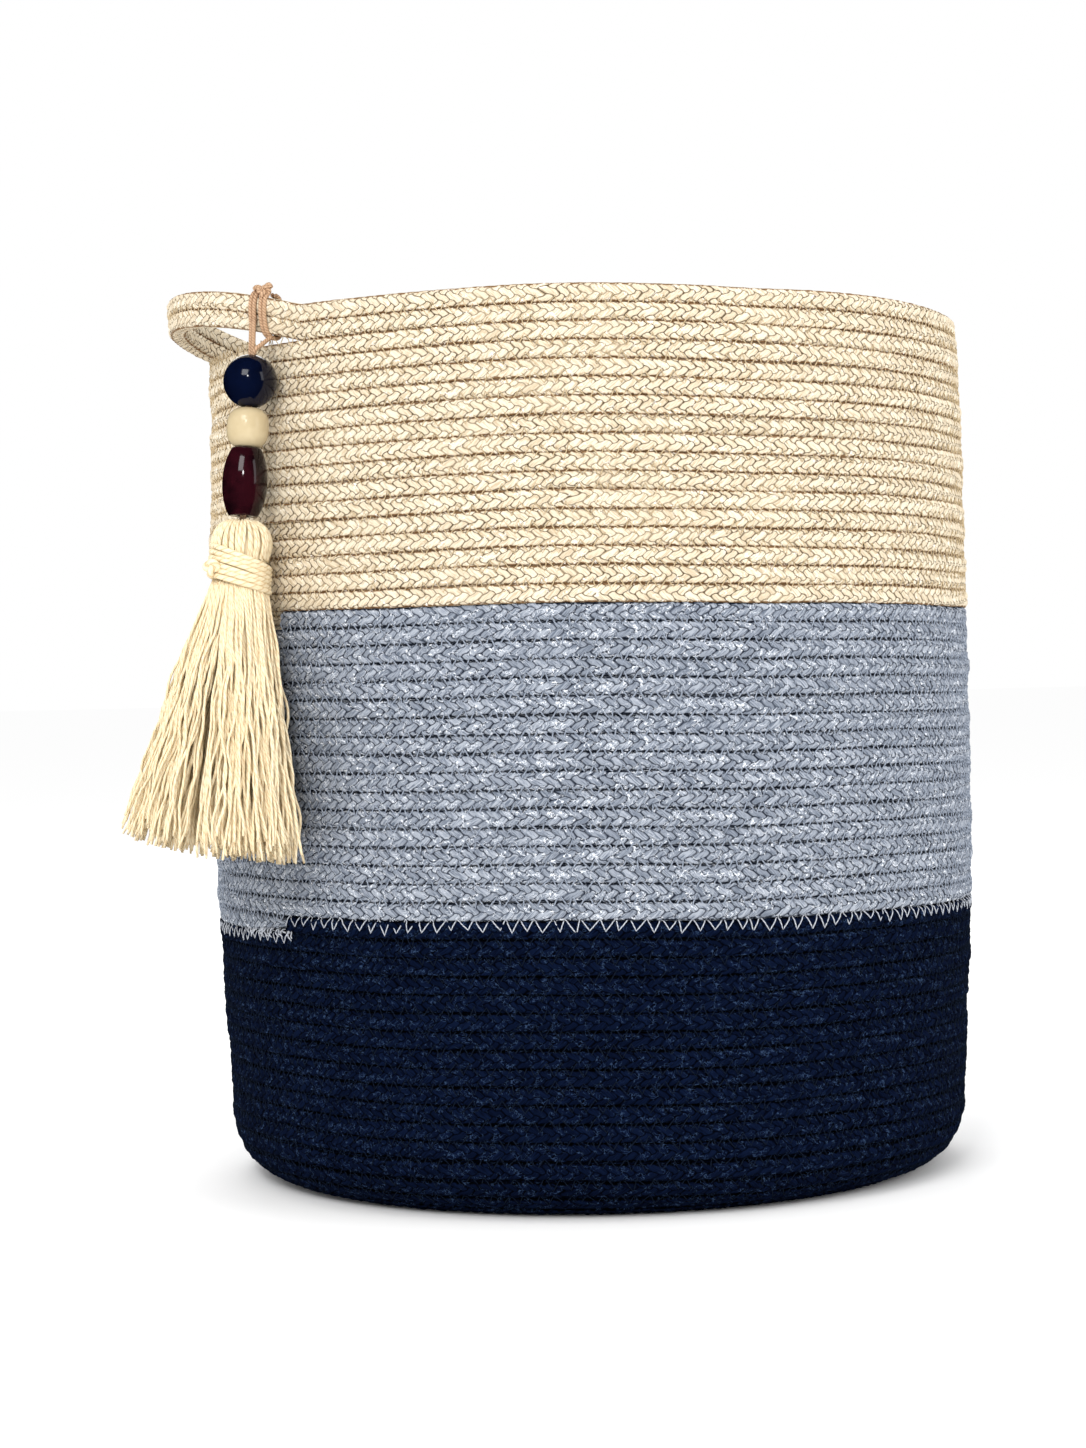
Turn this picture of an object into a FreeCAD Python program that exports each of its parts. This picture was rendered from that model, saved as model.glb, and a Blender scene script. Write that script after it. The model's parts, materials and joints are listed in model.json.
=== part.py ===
"""A round coiled-rope planter basket with a beaded tassel hung on its handle.

The rope is laid row on row and sewn together, in three colours. The two top rows bow out of the
wall as a handle. Millimetres, +Z up, origin at the centre of the underside, handle on -X.
"""
import FreeCAD
import Part
import math
import os

Vector = FreeCAD.Vector
Rotation = FreeCAD.Rotation
Placement = FreeCAD.Placement
UP = Vector(0, 0, 1)

SIZES = {
    # the rope wall
    "waist_radius": 150.0,      # outside of the widest rows
    "rim_draw": 2.2,            # how far the top row is drawn in
    "foot_draw": 5.8,           # how far the wall is drawn in by the time it meets the foot
    "foot_bend": 20.0,          # bend of the wall's middle into the base
    "rope_depth": 7.0,          # rope section through the wall
    "row_pitch": 6.6,           # rope section up the wall, pressed by the sewing
    "first_row": 3.2,           # height of the base coil's middle
    "join_height": 107.3,       # seam between the navy and the grey rope
    "floor_top": 6.4,           # upper side of the base coil
    "centre_nub": 5.4,          # radius of the start of the base coil
    # the handle
    "handle_half_angle": 31.0,  # half the stretch of rim that the handle leaves open
    "handle_depth": 6.6,
    "handle_pitch": 6.1,
    "handle_reach": 38.0,       # from the chord between its ends to the middle of its bow
    "handle_rise": 12.5,
    "handle_blend": 20.0,       # radius where it leaves the wall
    # sewing thread
    "thread_radius": 0.3,
    "thread_seat": 2.25,        # thread's distance outside the rows' middle
    "fray_section": 0.9,        # the frayed start of the grey rope
    "fray_sweep": 12.0,
    "fray_sink": 0.2,
    # the hanger cord and the string of beads
    "loop_angle": 46.5,         # place of the cord loop along the handle's bow
    "strand": 1.45,
    "knot_radius": 2.3,
    "string_angle": 24.7,       # round from the handle's middle
    "string_lean": 5.2,
    "string_reach": 157.9,      # from the basket's axis to the top of the string
    "string_top": 315.8,
    "bead_bore": 1.8,
    "navy_bead_radius": 9.9,
    "navy_bead_height": 19.2,
    "cream_bead_radius": 7.7,
    "cream_bead_height": 14.5,
    "oval_bead_radius": 8.2,
    "oval_bead_end": 4.9,
    "oval_bead_height": 25.0,
    "bead_gap": 0.35,
    # the tassel
    "head_radius": 11.4,
    "head_height": 13.0,
    "dome_height": 9.4,
    "neck_radius": 10.4,
    "neck_height": 13.0,
    "wrap_yarn": 2.0,
    "wrap_gap": 0.05,
    "wrap_knot_radius": 3.0,
    "skirt_height": 101.0,
    "skirt_width": 89.0,
    "skirt_depth": 56.0,
    "skirt_lean": 6.5,
    "skirt_flare": 0.6,
    "stopper_radius": 3.2,
    "stopper_room": 3.6,
    "stopper_depth": 5.0,
    "throat_radius": 2.8,
    "mouth_radius": 4.0,
}
ROWS_PER_BAND = 17
ROWS = 3 * ROWS_PER_BAND
HANDLE_ROWS = 2
WAIST_START = 20        # rows from the top where the wall reaches its full width
WAIST_END = 33          # rows from the top where the foot begins to draw in
BASE_RINGS = 18
LOOP_STRANDS = 4
WRAP_TURNS = 6

doc = FreeCAD.newDocument("RopeBasket")
sheet = doc.addObject("Spreadsheet::Sheet", "Sizes")
for line, (alias, value) in enumerate(SIZES.items(), start=1):
    sheet.set(f"A{line}", alias)
    sheet.set(f"B{line}", str(value))
    sheet.setAlias(f"B{line}", alias)
doc.recompute()

nodes = []


def size(alias):
    """A driving dimension, read back from the sheet."""
    return float(sheet.get(alias))


def bind(thing, expressions):
    """Tie properties of an object to cells of the sheet."""
    for prop, text in expressions.items():
        thing.setExpression(prop, text)
    return thing


def sub_part(thing, label):
    """Name an object as one of the basket's pieces."""
    thing.Label = label
    nodes.append(thing)
    return thing


def coded(label, shape):
    """A swept piece whose shape is worked out here from the sheet."""
    thing = doc.addObject("Part::Feature", label)
    thing.Shape = shape
    return sub_part(thing, label)


def primitive(kind, name, expressions):
    """A Part primitive with its sizes bound to the sheet."""
    return bind(doc.addObject(kind, name), expressions)


def together(label, pieces, placement=None):
    """Several touching solids as one piece."""
    thing = doc.addObject("Part::Compound", label)
    thing.Links = pieces
    if placement is not None:
        thing.Placement = placement
    return sub_part(thing, label)


# ---------------------------------------------------------------- the rope wall

def past_straight(row):
    """How far a row lies past the wall's straight part, measured down the wall; row 0 is the lowest."""
    return (f"(({ROWS_PER_BAND} - 0.5 - {row}) * Sizes.row_pitch"
            " - (Sizes.join_height - Sizes.first_row - Sizes.foot_bend))")


def foot_turn(row):
    """Degrees by which the wall has turned under at a row."""
    return f"(max(0; {past_straight(row)}) / Sizes.foot_bend * 180 / pi)"


def draw_in(row):
    """How far a row's outside lies inside the waist before the foot bends under."""
    from_top = ROWS - 1 - row
    rim = max(0.0, 1 - from_top / WAIST_START) ** 2
    foot = max(0.0, (from_top - WAIST_END) / (ROWS - 1 - WAIST_END))
    return f"{rim:.4f} * Sizes.rim_draw + {foot:.4f} * Sizes.foot_draw"


def row_radius(row):
    """Expression for the radius of a row's middle."""
    return (f"Sizes.waist_radius - Sizes.rope_depth / 2 - ({draw_in(row)})"
            f" - Sizes.foot_bend * (1 - cos({foot_turn(row)}))")


def row_height(row):
    """Expression for the height of a row's middle."""
    return (f"Sizes.first_row + Sizes.foot_bend * (1 - sin({foot_turn(row)}))"
            f" + max(0; -{past_straight(row)})")


def ring(name, radius, section, height):
    torus = doc.addObject("Part::Torus", name)
    return bind(torus, {"Radius1": radius, "Radius2": section, "Placement.Base.z": height})


def wall_row(row):
    """One turn of rope; the turns beside the handle stop at its ends."""
    torus = ring(f"Row{row}", row_radius(row), "Sizes.rope_depth / 2", row_height(row))
    if row >= ROWS - HANDLE_ROWS:
        torus.Placement = Placement(torus.Placement.Base, Rotation(UP, 180))
        bind(torus, {"Angle3": "360 - 2 * Sizes.handle_half_angle",
                     "Placement.Rotation.Angle": "180 + Sizes.handle_half_angle"})
    return torus


def trimmed(label, rings, radius, low, high):
    """Rings joined to one solid, flat where it meets the floor or the next band."""
    stack = doc.addObject("Part::MultiFuse", label + "_rings")
    stack.Shapes = rings
    limits = doc.addObject("Part::Cylinder", label + "_limits")
    bind(limits, {"Radius": radius, "Height": f"({high}) - ({low})", "Placement.Base.z": low})
    band = doc.addObject("Part::MultiCommon", label)
    band.Shapes = [stack, limits]
    return sub_part(band, label)


def band_edge(row):
    """Height of the seam under a row of the straight wall, or of the floor under row 0."""
    return "0" if row == 0 else f"Sizes.join_height + {row - ROWS_PER_BAND} * Sizes.row_pitch"


for band, colour in enumerate(("navy", "grey", "cream")):
    first = band * ROWS_PER_BAND
    above = first + ROWS_PER_BAND
    trimmed(f"{colour}_rope_wall", [wall_row(row) for row in range(first, above)],
            "Sizes.waist_radius + 10", band_edge(first), band_edge(above))


# ---------------------------------------------------------------- the base coil

FLOOR_EDGE = f"{row_radius(0)} - Sizes.rope_depth / 2"
coil = [ring(f"BaseRing{turn}", f"{FLOOR_EDGE} - ({turn} + 0.5) * Sizes.row_pitch",
             "Sizes.rope_depth / 2", "Sizes.first_row") for turn in range(BASE_RINGS)]
nub = doc.addObject("Part::Cylinder", "BaseNub")
coil.append(bind(nub, {"Radius": "Sizes.centre_nub", "Height": "Sizes.floor_top"}))
trimmed("navy_base_coil", coil, FLOOR_EDGE, "0", "Sizes.floor_top")


# ---------------------------------------------------------------- the handle

def handle_path(height, outward):
    """The bow of a handle rope: a middle arc, and an arc at each end back into the wall.

    It lies in a plane that tilts up and out from the chord between its ends. height lifts it, and
    outward offsets it away from the basket.
    """
    half = math.radians(size("handle_half_angle"))
    wall = size("waist_radius") - size("rim_draw") - size("rope_depth") / 2
    reach = math.hypot(size("handle_reach"), size("handle_rise"))
    tilt = math.atan2(size("handle_rise"), size("handle_reach"))
    blend = size("handle_blend")
    end_across = wall * math.sin(half)
    blend_centre = (blend * math.cos(half), end_across + blend * math.sin(half))
    # the middle arc passes through the reach and touches the end arcs
    bow = (((blend_centre[0] - reach) ** 2 + blend_centre[1] ** 2 - blend ** 2)
           / (2 * (blend + reach - blend_centre[0])))
    bow_centre = reach - bow
    turn = math.atan2(blend_centre[1], blend_centre[0] - bow_centre)

    def place(away, across):
        rise = away * math.sin(tilt)
        return Vector(-wall * math.cos(half) - away * math.cos(tilt), across, height + rise)

    def on_bow(angle):
        radius = bow + outward
        return place(bow_centre + radius * math.cos(angle), radius * math.sin(angle))

    def on_blend(angle, side):
        radius = blend - outward
        return place(blend_centre[0] - radius * math.cos(angle),
                     side * (blend_centre[1] - radius * math.sin(angle)))

    middle = (half + turn) / 2
    edges = [Part.Arc(on_blend(half, -1), on_blend(middle, -1), on_blend(turn, -1)),
             Part.Arc(on_bow(-turn), on_bow(0), on_bow(turn)),
             Part.Arc(on_blend(turn, 1), on_blend(middle, 1), on_blend(half, 1))]
    return Part.Wire([edge.toShape() for edge in edges]), on_bow, tilt


def tube(path, radius):
    """A round rope along a path, checked against its section times its length."""
    start = path.Edges[0]
    point = start.valueAt(start.FirstParameter)
    along = start.tangentAt(start.FirstParameter)
    circle = Part.Wire([Part.Circle(point, along, radius).toShape()])
    solid = path.makePipeShell([circle], True, True)
    expected = math.pi * radius ** 2 * path.Length
    if abs(solid.Volume / expected - 1) > 0.02:
        raise ValueError(f"tube volume {solid.Volume:.1f}, expected {expected:.1f}")
    return solid


rope_middle = size("join_height") + (ROWS - 1 - ROWS_PER_BAND) * size("row_pitch")
for label, side in (("handle_lower_rope", -0.5), ("handle_upper_rope", 0.5)):
    path, on_bow, tilt = handle_path(rope_middle + side * size("handle_pitch"), 0.0)
    coded(label, tube(path, size("handle_depth") / 2))


# ---------------------------------------------------------------- the sewing thread

def seam_rings(label, seams):
    """Thread lying in the outside groove of each seam; a seam is named by the row over it."""
    rings = []
    for row in seams:
        turn = foot_turn(row - 0.5)
        middle_radius = f"({row_radius(row)} + {row_radius(row - 1)}) / 2"
        middle_height = f"({row_height(row)} + {row_height(row - 1)}) / 2"
        rings.append(ring(f"Seam{row}", f"{middle_radius} + Sizes.thread_seat * cos({turn})",
                          "Sizes.thread_radius", f"{middle_height} - Sizes.thread_seat * sin({turn})"))
    return together(label, rings)


NAVY_TOP = ROWS_PER_BAND
GREY_TOP = 2 * ROWS_PER_BAND
HANDLE_SEAT = 0.3       # how much further out the thread lies between the handle's round ropes
seam_rings("navy_thread", range(1, NAVY_TOP))
seam_rings("join_thread", [NAVY_TOP])
seam_rings("grey_thread", range(NAVY_TOP + 1, GREY_TOP))
seam_rings("cream_thread", range(GREY_TOP, ROWS - HANDLE_ROWS))
seat = size("thread_seat") + HANDLE_SEAT
groove = rope_middle - seat * math.sin(tilt)
coded("handle_thread", tube(handle_path(groove, seat)[0], size("thread_radius")))

fray = doc.addObject("Part::Torus", "splice_fray")
fray.Placement = Placement(Vector(), Rotation(UP, 180 + size("string_angle") - size("fray_sweep") / 2))
bind(fray, {"Radius1": f"{row_radius(NAVY_TOP)} + Sizes.rope_depth / 2 - Sizes.fray_sink",
            "Radius2": "Sizes.fray_section",
            "Angle3": "Sizes.fray_sweep",
            "Placement.Base.z": band_edge(NAVY_TOP)})
sub_part(fray, "splice_fray")


# ---------------------------------------------------------------- the cord loop on the handle

def loop_frame():
    """Where the loop sits: handle middle, outward normal, and direction along the handle."""
    on_bow = handle_path(rope_middle, 0.0)[1]
    angle = -math.radians(size("loop_angle"))
    step = 0.001
    middle = on_bow(angle)
    along = (on_bow(angle + step) - on_bow(angle - step)).normalize()
    normal = Vector(along.y, -along.x, 0).normalize()
    if normal.dot(middle) < 0:
        normal = -normal
    return middle, normal, along


def stadium(centre, half, radius):
    """A closed loop round two ropes, one over the other."""
    top = centre + upright * half
    low = centre - upright * half
    edges = [Part.LineSegment(low + normal * radius, top + normal * radius),
             Part.Arc(top + normal * radius, top + upright * radius, top - normal * radius),
             Part.LineSegment(top - normal * radius, low - normal * radius),
             Part.Arc(low - normal * radius, low - upright * radius, low + normal * radius)]
    return Part.Wire([edge.toShape() for edge in edges])


def strands(label, starts, reach, direction, placement=None):
    """Straight cord strands side by side, all of one length."""
    pieces = []
    for number, start in enumerate(starts):
        strand_piece = primitive("Part::Cylinder", f"{label}_{number}", {"Radius": "Sizes.strand / 2"})
        strand_piece.Height = reach
        strand_piece.Placement = Placement(start, Rotation(UP, direction))
        pieces.append(strand_piece)
    return together(label, pieces, placement)


middle, normal, along = loop_frame()
upright = normal.cross(along).normalize()
if upright.z < 0:
    upright = -upright
strand = size("strand")
LOOP_SLACK = 0.15       # room between the handle and the loop
STRAND_GAP = 0.06
loop_radius = size("handle_depth") / 2 + strand / 2 + LOOP_SLACK
strand_pitch = strand + STRAND_GAP
rings = []
for number in range(LOOP_STRANDS):
    centre = middle + along * ((number - (LOOP_STRANDS - 1) / 2) * strand_pitch)
    rings.append(tube(stadium(centre, size("handle_pitch") / 2, loop_radius), strand / 2))
coded("hanger_loop", Part.makeCompound(rings))

KNOT_TURN = math.radians(35)    # how far the knot sits over the handle's outside
TAIL_SPREAD = 0.45
TAIL_LENGTH = 4.5
CONTACT_GAP = 0.05
knot_radius = size("knot_radius")
knot_seat = loop_radius + strand / 2 + knot_radius + CONTACT_GAP
knot_middle = (middle + upright * (size("handle_pitch") / 2 + knot_seat * math.sin(KNOT_TURN))
               + normal * (knot_seat * math.cos(KNOT_TURN)))
knot = primitive("Part::Sphere", "hanger_knot", {"Radius": "Sizes.knot_radius"})
knot.Placement = Placement(knot_middle, Rotation())
sub_part(knot, "hanger_knot")
tails = []
for number, spread in enumerate((-TAIL_SPREAD, TAIL_SPREAD)):
    lean = (upright + along * spread + normal * 0.2).normalize()
    tail = primitive("Part::Cylinder", f"Tail{number}", {"Radius": "Sizes.strand / 2"})
    tail.Height = TAIL_LENGTH
    tail.Placement = Placement(knot_middle + lean * (knot_radius + CONTACT_GAP), Rotation(UP, lean))
    tails.append(tail)
together("hanger_tails", tails)


# ---------------------------------------------------------------- the string of beads

string_turn = math.radians(size("string_angle"))
OUT = Vector(-math.cos(string_turn), -math.sin(string_turn), 0)
ALONG_WALL = Vector(math.sin(string_turn), -math.cos(string_turn), 0)
string_origin = OUT * size("string_reach") + UP * size("string_top")


def on_string(down=0.0):
    """Placement on the leaning string: local X points away from the wall, local Z up the string."""
    lean = math.radians(size("string_lean"))
    up_string = UP * math.cos(lean) - OUT * math.sin(lean)
    outward = OUT * math.cos(lean) + UP * math.sin(lean)
    turn = Rotation(outward, up_string.cross(outward), up_string, "ZXY")
    return Placement(string_origin - up_string * down, turn)


def bead(label, down, kind, shape, height):
    """A drilled bead with flat ends, its top a given way down the string."""
    body = primitive(kind, label + "_body", shape)
    ends = primitive("Part::Cylinder", label + "_ends", {
        "Radius": "Sizes.navy_bead_radius * 2", "Height": height, "Placement.Base.z": f"-{height} / 2"})
    bore = primitive("Part::Cylinder", label + "_bore", {
        "Radius": "Sizes.bead_bore", "Height": f"{height} * 2", "Placement.Base.z": f"-{height}"})
    blank = doc.addObject("Part::MultiCommon", label + "_blank")
    blank.Shapes = [body, ends]
    drilled = doc.addObject("Part::Cut", label)
    drilled.Base = blank
    drilled.Tool = bore
    tall = size(height.replace("Sizes.", ""))
    drilled.Placement = on_string(down + tall / 2)
    sub_part(drilled, label)
    return down + tall + size("bead_gap")


CORD_LEAD = 1.2         # cord seen above the first bead
PIVOT_GAP = 0.3
SWAY_GAP = 0.75
HEAD_CLEARANCE = 0.75
OVAL_HALF = ("Sizes.oval_bead_height / 2"
             " / sqrt(1 - (Sizes.oval_bead_end / Sizes.oval_bead_radius) ^ 2)")
down = bead("navy_bead", CORD_LEAD, "Part::Sphere",
            {"Radius": "Sizes.navy_bead_radius"}, "Sizes.navy_bead_height")
down = bead("cream_bead", down, "Part::Sphere",
            {"Radius": "Sizes.cream_bead_radius"}, "Sizes.cream_bead_height")
down = bead("oval_bead", down, "Part::Ellipsoid",
            {"Radius1": OVAL_HALF, "Radius2": "Sizes.oval_bead_radius", "Radius3": "Sizes.oval_bead_radius"},
            "Sizes.oval_bead_height")
head_top = down + HEAD_CLEARANCE
stopper_down = head_top + size("stopper_depth")

half_pair = (strand + STRAND_GAP) / 2
cord_reach = stopper_down - size("stopper_radius") - CONTACT_GAP
feet = [Vector(0, side * half_pair, -cord_reach) for side in (-1, 1)]
strands("bead_cord", feet, cord_reach, UP, on_string())
stopper = primitive("Part::Sphere", "stopper_knot", {"Radius": "Sizes.stopper_radius"})
stopper.Placement = on_string(stopper_down)
sub_part(stopper, "stopper_knot")

# the short doubled stretch between the handle and the string
DROP_TURN = math.radians(40)
drop_reach = loop_radius + strand + PIVOT_GAP
drop_top = (middle - upright * (size("handle_pitch") / 2 + drop_reach * math.sin(DROP_TURN))
            + normal * (drop_reach * math.cos(DROP_TURN)))
drop_foot = string_origin + UP * SWAY_GAP
drop_run = drop_foot - drop_top
tops = [drop_top + ALONG_WALL * (side * half_pair) for side in (-1, 1)]
strands("hanger_drop", tops, drop_run.Length, drop_run)


# ---------------------------------------------------------------- the tassel

# the head: yarns folded over the cord's stopper knot, with room for the knot and for the cord to lean
dome = primitive("Part::Ellipsoid", "HeadDome", {
    "Radius1": "Sizes.dome_height", "Radius2": "Sizes.head_radius", "Radius3": "Sizes.head_radius",
    "Placement.Base.z": "-Sizes.dome_height"})
neck = primitive("Part::Cylinder", "HeadNeck", {
    "Radius": "Sizes.neck_radius", "Height": "Sizes.head_height + Sizes.neck_height - Sizes.dome_height",
    "Placement.Base.z": "-(Sizes.head_height + Sizes.neck_height)"})
yarns = doc.addObject("Part::MultiFuse", "HeadYarns")
yarns.Shapes = [dome, neck]
room = primitive("Part::Sphere", "StopperRoom", {
    "Radius": "Sizes.stopper_room", "Placement.Base.z": "-Sizes.stopper_depth"})
throat = primitive("Part::Cone", "HeadThroat", {
    "Radius1": "Sizes.throat_radius", "Radius2": "Sizes.mouth_radius", "Height": "Sizes.stopper_depth",
    "Placement.Base.z": "-Sizes.stopper_depth"})
hollow = doc.addObject("Part::MultiFuse", "HeadHollow")
hollow.Shapes = [room, throat]
head = doc.addObject("Part::Cut", "tassel_head")
head.Base = yarns
head.Tool = hollow
head.Placement = on_string(head_top)
sub_part(head, "tassel_head")

turns = []
for number in range(WRAP_TURNS):
    turns.append(ring(f"WrapTurn{number}", "Sizes.neck_radius + Sizes.wrap_yarn / 2 + Sizes.wrap_gap",
                      "Sizes.wrap_yarn / 2 - Sizes.wrap_gap / 2",
                      f"-Sizes.head_height - Sizes.wrap_yarn * ({number} + 0.5) - Sizes.wrap_gap"))
together("neck_wrap", turns, on_string(head_top))

WRAP_KNOT_TURN = math.radians(18)
knot_reach = size("neck_radius") + size("wrap_yarn") + size("wrap_knot_radius") + 2 * size("wrap_gap")
knot_level = size("head_height") + size("neck_height") / 2
wrap_knot = primitive("Part::Sphere", "wrap_knot", {"Radius": "Sizes.wrap_knot_radius"})
wrap_knot.Placement = on_string(head_top).multiply(Placement(
    Vector(knot_reach * math.cos(WRAP_KNOT_TURN), knot_reach * math.sin(WRAP_KNOT_TURN), -knot_level),
    Rotation()))
sub_part(wrap_knot, "wrap_knot")

# the skirt: the hanging yarns as one bundle, round at the neck and a broad oval at the cut ends
SKIRT_GAP = 0.02
gathered = primitive("Part::Circle", "SkirtTop", {"Radius": "Sizes.neck_radius + Sizes.skirt_flare"})
gathered.Placement = Placement(Vector(), Rotation(UP, 90))
cut_ends = primitive("Part::Ellipse", "SkirtFoot", {
    "MajorRadius": "Sizes.skirt_width / 2", "MinorRadius": "Sizes.skirt_depth / 2"})
cut_ends.Placement = Placement(Vector(), Rotation(UP, 90))
bind(cut_ends, {"Placement.Base.x": "Sizes.skirt_lean", "Placement.Base.z": "-Sizes.skirt_height"})
skirt = doc.addObject("Part::Loft", "tassel_skirt")
skirt.Sections = [gathered, cut_ends]
skirt.Solid = True
skirt.Placement = on_string(head_top + size("head_height") + size("neck_height") + SKIRT_GAP)
sub_part(skirt, "tassel_skirt")


# ---------------------------------------------------------------- checking and writing

doc.recompute()
for thing in doc.Objects:
    if {"Invalid", "Error"} & set(thing.State):
        raise ValueError(f"{thing.Name} failed: {thing.State}")
os.makedirs("parts", exist_ok=True)
for thing in nodes:
    shape = thing.Shape
    if shape.isNull() or not shape.isValid() or shape.Volume <= 0:
        raise ValueError(f"{thing.Label} has no sound solid")
    shape.exportStep(os.path.join("parts", thing.Label + ".step"))
    print(f"{thing.Label}: {len(shape.Solids)} solids, {shape.Volume / 1000:.2f} cm3")
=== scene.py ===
"""Looks of a round coiled-rope basket with a beaded tassel on its handle.

One braided rope winds up the basket, clockwise as seen from above, and is sewn row to row. Metres,
+Z up, origin under the middle of the base. Turns count the rope's way round the basket.
"""

import json
import math

import bpy
import numpy as np
from mathutils import Matrix, Vector


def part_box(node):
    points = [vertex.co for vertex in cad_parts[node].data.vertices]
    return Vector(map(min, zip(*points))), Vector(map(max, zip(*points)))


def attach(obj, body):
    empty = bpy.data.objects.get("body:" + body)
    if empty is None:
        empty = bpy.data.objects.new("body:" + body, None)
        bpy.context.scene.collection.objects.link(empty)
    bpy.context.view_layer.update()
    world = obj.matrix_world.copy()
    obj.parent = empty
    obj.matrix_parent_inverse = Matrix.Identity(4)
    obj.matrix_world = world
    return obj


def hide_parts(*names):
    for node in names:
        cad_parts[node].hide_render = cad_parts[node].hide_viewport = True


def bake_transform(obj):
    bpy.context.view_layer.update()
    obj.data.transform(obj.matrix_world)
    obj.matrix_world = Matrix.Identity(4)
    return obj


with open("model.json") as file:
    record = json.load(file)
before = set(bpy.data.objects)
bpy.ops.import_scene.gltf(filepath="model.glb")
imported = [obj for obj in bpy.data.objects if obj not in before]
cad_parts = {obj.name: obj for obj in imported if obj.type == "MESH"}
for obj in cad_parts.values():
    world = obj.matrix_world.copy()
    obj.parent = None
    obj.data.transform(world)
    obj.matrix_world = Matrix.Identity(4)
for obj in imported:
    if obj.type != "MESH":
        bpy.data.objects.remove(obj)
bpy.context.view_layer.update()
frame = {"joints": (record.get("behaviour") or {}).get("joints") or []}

MM = 0.001
TURN = 2 * math.pi
UP = np.array([0.0, 0.0, 1.0])

# the rope, with the sizes of the CAD rows
WAIST = 150.0 * MM
DEPTH = 7.0 * MM
PITCH = 6.6 * MM
FIRST_ROW = 3.2 * MM
JOIN_ROW = 16.5                     # between the navy and the grey rows
JOIN_HEIGHT = 107.3 * MM
ROWS = 51
BAND_ROWS = 17
RIM_DRAW, RIM_ROWS = 2.2 * MM, 20
FOOT_DRAW, FOOT_ROWS, FOOT_START = 5.8 * MM, 17, 33
FOOT_BEND = 20.0 * MM               # radius from the wall into the flat base
START = math.radians(205.7)         # where each colour begins, under the tassel
CLIMB = 0.86                        # turn at which the rope leaves the base
LAST_TURN = 51.42
BASE_TURNS = 18.75
HALF_DEPTH = 3.5 * MM
HALF_HEIGHT = 3.42 * MM
SQUARENESS = 4.2                    # of the rope's section; 2 would be an ellipse

# the braid
LEAF = 4.7 * MM                     # one stitch of the braid along the rope
COLUMNS = 8
RELIEF = 0.85 * MM
SLANT = 0.66

# the handle, as the CAD bends it
HANDLE_HALF = math.radians(31.0)
HANDLE_REACH = 38.0 * MM
HANDLE_RISE = 12.5 * MM
HANDLE_BLEND = 20.0 * MM
HANDLE_SAG = 1.3 * MM

joints = {joint["name"]: joint for joint in frame["joints"]}
string_up = np.array(joints["navy_bead_spin"]["axis"])
string_up /= np.linalg.norm(string_up)
sway_point = np.array(joints["string_sway"]["pos_m"])
stopper = np.array(joints["tassel_sway"]["pos_m"])
string_side = np.cross(string_up, np.array(joints["tassel_sway"]["axis"]))
string_side /= np.linalg.norm(string_side)      # along the wall, to the right in the photo's view
string_out = np.cross(string_side, string_up)   # away from the wall


# ---------------------------------------------------------------- camera

VIEW_AZIMUTH = math.radians(-14.0)
VIEW_PLACE = (-0.0192, -1.2, 0.1927)
VIEW_DOWN = 0.0144                  # how far the camera looks below the level, and its roll, in radians
VIEW_ROLL = -0.0217


def add_camera():
    """The photo's view: low, almost level, with the handle at the left."""
    lens = bpy.data.cameras.new("photo_view")
    lens.lens = 74.35
    lens.sensor_width = 36.0
    camera = bpy.data.objects.new("photo_view", lens)
    turn = Matrix.Rotation(VIEW_AZIMUTH, 4, "Z")
    tip = Matrix.Rotation(math.radians(90.0) - VIEW_DOWN, 4, "X")
    roll = Matrix.Rotation(VIEW_ROLL, 4, "Z")
    place = turn @ Matrix.Translation(VIEW_PLACE)
    camera.matrix_world = place @ tip @ roll
    bpy.context.scene.collection.objects.link(camera)
    bpy.context.scene.camera = camera


add_camera()


# ---------------------------------------------------------------- small helpers

def smooth_noise(x, seed):
    """Smooth random values about 0, one knot per unit of x."""
    table = np.random.default_rng(seed).standard_normal(4096)
    cell = np.floor(x).astype(int)
    part = x - cell
    part = part * part * (3 - 2 * part)
    return table[cell % 4096] * (1 - part) + table[(cell + 1) % 4096] * part


def unit(vectors):
    return vectors / np.maximum(np.linalg.norm(vectors, axis=-1, keepdims=True), 1e-12)


def local(out, side, up):
    """A point on the string's own axes: away from the wall, along the wall, up the string."""
    return (np.multiply.outer(out, string_out) + np.multiply.outer(side, string_side)
            + np.multiply.outer(up, string_up))


def new_object(name, vertices, faces, body, slot_name, replaced=(), material=None):
    """A mesh piece on a body, with its slot's material and the CAD nodes that it stands for."""
    mesh = bpy.data.meshes.new(name)
    vertices = np.asarray(vertices, np.float32)
    faces = np.asarray(faces, np.int32)
    sides = faces.shape[1]
    mesh.vertices.add(len(vertices))
    mesh.vertices.foreach_set("co", vertices.ravel())
    mesh.loops.add(faces.size)
    mesh.loops.foreach_set("vertex_index", faces.ravel())
    mesh.polygons.add(len(faces))
    mesh.polygons.foreach_set("loop_start", np.arange(0, faces.size, sides, dtype=np.int32))
    mesh.polygons.foreach_set("use_smooth", np.ones(len(faces), bool))
    mesh.update(calc_edges=True)
    mesh.materials.append(material or materials[slot_name])
    piece = bpy.data.objects.new(name, mesh)
    bpy.context.scene.collection.objects.link(piece)
    if body:
        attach(piece, body)
    if replaced:
        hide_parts(*replaced)
    return piece


def add_uv(piece, name, values):
    layer = piece.data.uv_layers.new(name=name, do_init=False)
    layer.data.foreach_set("uv", np.asarray(values, np.float32).ravel())


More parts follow.
